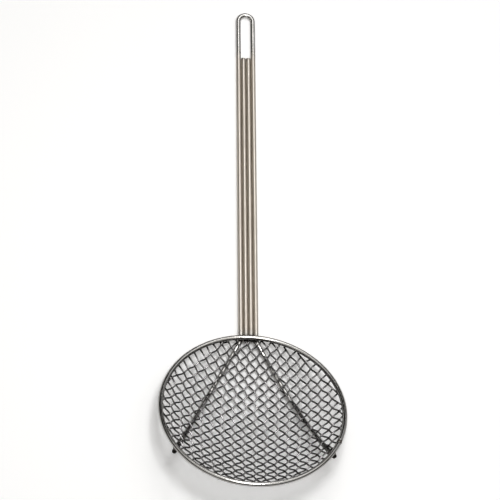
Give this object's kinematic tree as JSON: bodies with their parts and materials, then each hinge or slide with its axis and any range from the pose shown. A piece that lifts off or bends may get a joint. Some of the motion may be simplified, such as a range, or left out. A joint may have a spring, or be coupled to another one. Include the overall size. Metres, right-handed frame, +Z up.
{
  "type": "spider skimmer",
  "caption": "Long-handled fryer skimmer: a dished bowl of coarse woven wire mesh in a round wire rim, on two cradle arms whose wire runs on as the flat handle and its hanging loop.",
  "frame": {"origin": "middle of the underside of the bounding box, on the table the skimmer lies on with the bowl's mouth up", "axes": "+Y along the handle from the bowl towards the hanging loop, +Z up from the table, +X to the right when looking along +Y"},
  "size_m": [0.1714, 0.5074, 0.0625],
  "materials": {
    "frame_wire": "bright nickel plate",
    "mesh_wire": "bright nickel plate",
    "weld": "plated over, duller than the wire"
  },
  "bodies": {
    "root": {"cradle_weld_left": "weld", "cradle_weld_right": "weld", "handle_filler_left": "frame_wire", "handle_filler_right": "frame_wire", "handle_loop_wire": "frame_wire", "handle_weld_inner_left": "weld", "handle_weld_inner_right": "weld", "handle_weld_outer_left": "weld", "handle_weld_outer_right": "weld", "mesh_warp_01": "mesh_wire", "mesh_warp_02": "mesh_wire", "mesh_warp_03": "mesh_wire", "mesh_warp_04": "mesh_wire", "mesh_warp_05": "mesh_wire", "mesh_warp_06": "mesh_wire", "mesh_warp_07": "mesh_wire", "mesh_warp_08": "mesh_wire", "mesh_warp_09": "mesh_wire", "mesh_warp_10": "mesh_wire", "mesh_warp_11": "mesh_wire", "mesh_warp_12": "mesh_wire", "mesh_warp_13": "mesh_wire", "mesh_warp_14": "mesh_wire", "mesh_warp_15": "mesh_wire", "mesh_warp_16": "mesh_wire", "mesh_warp_17": "mesh_wire", "mesh_warp_18": "mesh_wire", "mesh_warp_19": "mesh_wire", "mesh_warp_20": "mesh_wire", "mesh_warp_21": "mesh_wire", "mesh_warp_22": "mesh_wire", "mesh_warp_23": "mesh_wire", "mesh_warp_24": "mesh_wire", "mesh_weft_01": "mesh_wire", "mesh_weft_02": "mesh_wire", "mesh_weft_03": "mesh_wire", "mesh_weft_04": "mesh_wire", "mesh_weft_05": "mesh_wire", "mesh_weft_06": "mesh_wire", "mesh_weft_07": "mesh_wire", "mesh_weft_08": "mesh_wire", "mesh_weft_09": "mesh_wire", "mesh_weft_10": "mesh_wire", "mesh_weft_11": "mesh_wire", "mesh_weft_12": "mesh_wire", "mesh_weft_13": "mesh_wire", "mesh_weft_14": "mesh_wire", "mesh_weft_15": "mesh_wire", "mesh_weft_16": "mesh_wire", "mesh_weft_17": "mesh_wire", "mesh_weft_18": "mesh_wire", "mesh_weft_19": "mesh_wire", "mesh_weft_20": "mesh_wire", "mesh_weft_21": "mesh_wire", "mesh_weft_22": "mesh_wire", "rim_ring": "frame_wire", "rim_seam_weld": "weld"}
  },
  "joints": []
}
